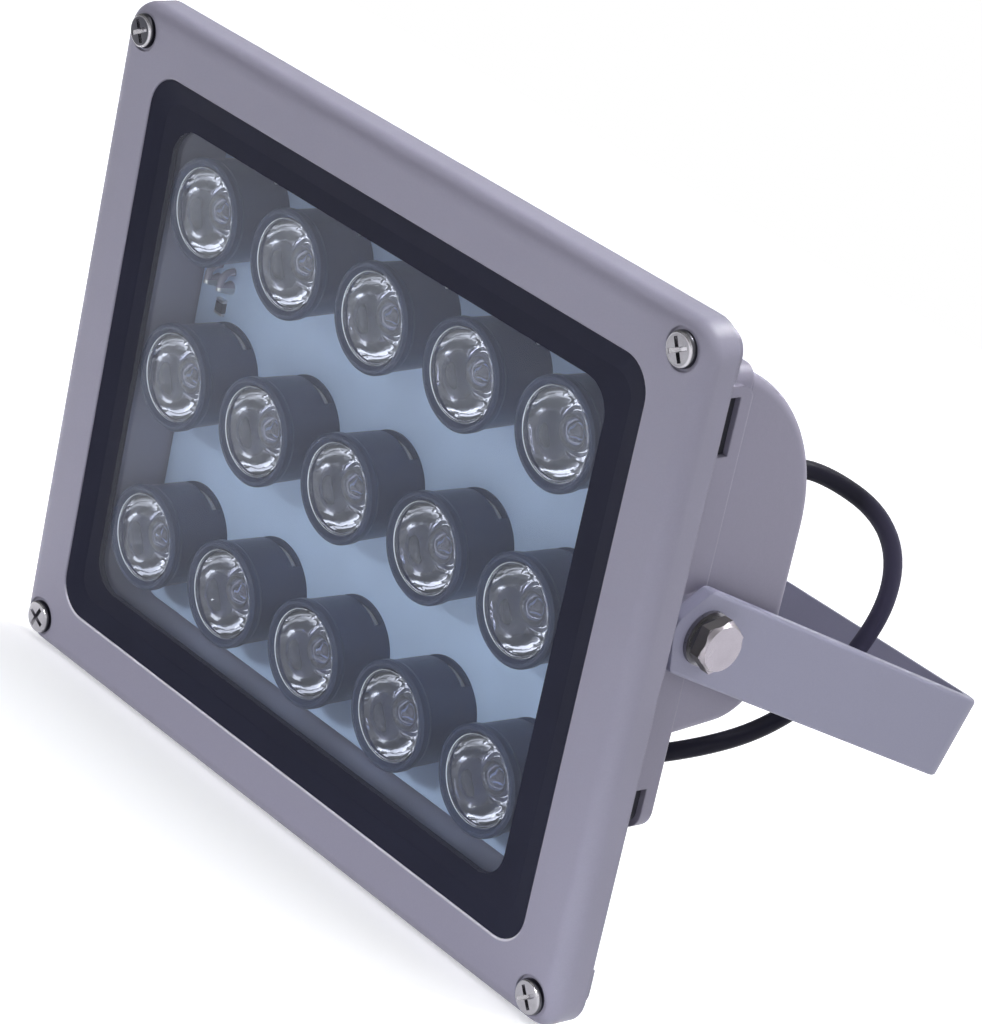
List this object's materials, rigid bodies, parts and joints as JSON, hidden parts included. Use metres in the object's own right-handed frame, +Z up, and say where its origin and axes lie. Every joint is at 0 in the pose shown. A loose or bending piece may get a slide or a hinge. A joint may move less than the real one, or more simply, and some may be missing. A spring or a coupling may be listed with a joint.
{
  "type": "infrared illuminator",
  "caption": "Small infrared flood lamp: cast head with rounded bezel, glazed lens array and round-shouldered back, tilting in a U-shaped strap bracket, with a thin supply lead.",
  "frame": {"origin": "centre of the bracket base's back face, where it lies on the wall", "axes": "+Y into the wall, along the mounting screws; +Z up along the wall; +X to the right as seen from the front"},
  "size_m": [0.1908, 0.1382, 0.1402],
  "materials": {
    "housing_paint": "satin",
    "screw_steel": "plated",
    "black_rubber": "matte",
    "front_glass": "clear",
    "border_ink": "gloss",
    "holder_plastic": "satin",
    "lens_clear": "clear",
    "board_pale": "satin",
    "emitter_package": "gloss",
    "dark_part": "matte",
    "lead_insulation": "satin",
    "board_green": "satin",
    "can_aluminium": "satin",
    "black_nylon": "satin",
    "cord_jacket": "satin"
  },
  "bodies": {
    "bracket": {"mount_bracket": "housing_paint"},
    "lamp_head": {"bezel_frame": "housing_paint", "bezel_screws": "screw_steel", "board_leads": "lead_insulation", "board_resistor": "dark_part", "board_screws": "screw_steel", "coil_tie": "black_nylon", "cord_coil": "cord_jacket", "cover_screws": "screw_steel", "cover_seal": "black_rubber", "driver_board": "board_green", "driver_capacitors": "can_aluminium", "driver_coil": "dark_part", "flat_washers": "screw_steel", "gland_body": "black_nylon", "gland_cap": "black_nylon", "gland_nut": "black_nylon", "glass_bead": "black_rubber", "glass_border": "border_ink", "glass_pane": "front_glass", "glass_seal": "black_rubber", "housing_body": "housing_paint", "led_board": "board_pale", "led_emitters": "emitter_package", "lens_1_1": "lens_clear", "lens_1_2": "lens_clear", "lens_1_3": "lens_clear", "lens_1_4": "lens_clear", "lens_1_5": "lens_clear", "lens_2_1": "lens_clear", "lens_2_2": "lens_clear", "lens_2_3": "lens_clear", "lens_2_4": "lens_clear", "lens_2_5": "lens_clear", "lens_3_1": "lens_clear", "lens_3_2": "lens_clear", "lens_3_3": "lens_clear", "lens_3_4": "lens_clear", "lens_3_5": "lens_clear", "lens_holder_1_1": "holder_plastic", "lens_holder_1_2": "holder_plastic", "lens_holder_1_3": "holder_plastic", "lens_holder_1_4": "holder_plastic", "lens_holder_1_5": "holder_plastic", "lens_holder_2_1": "holder_plastic", "lens_holder_2_2": "holder_plastic", "lens_holder_2_3": "holder_plastic", "lens_holder_2_4": "holder_plastic", "lens_holder_2_5": "holder_plastic", "lens_holder_3_1": "holder_plastic", "lens_holder_3_2": "holder_plastic", "lens_holder_3_3": "holder_plastic", "lens_holder_3_4": "holder_plastic", "lens_holder_3_5": "holder_plastic", "pivot_bolts": "screw_steel", "power_socket": "black_nylon", "rear_cover": "housing_paint", "rim_seal": "black_rubber", "spring_washers": "screw_steel", "supply_cord": "cord_jacket"}
  },
  "joints": [
    {"name": "tilt", "type": "hinge", "parent": "bracket", "child": "lamp_head", "pos_m": [0, -0.093, 0], "axis": [1, 0, 0], "range_deg": [-113, 67]}
  ]
}
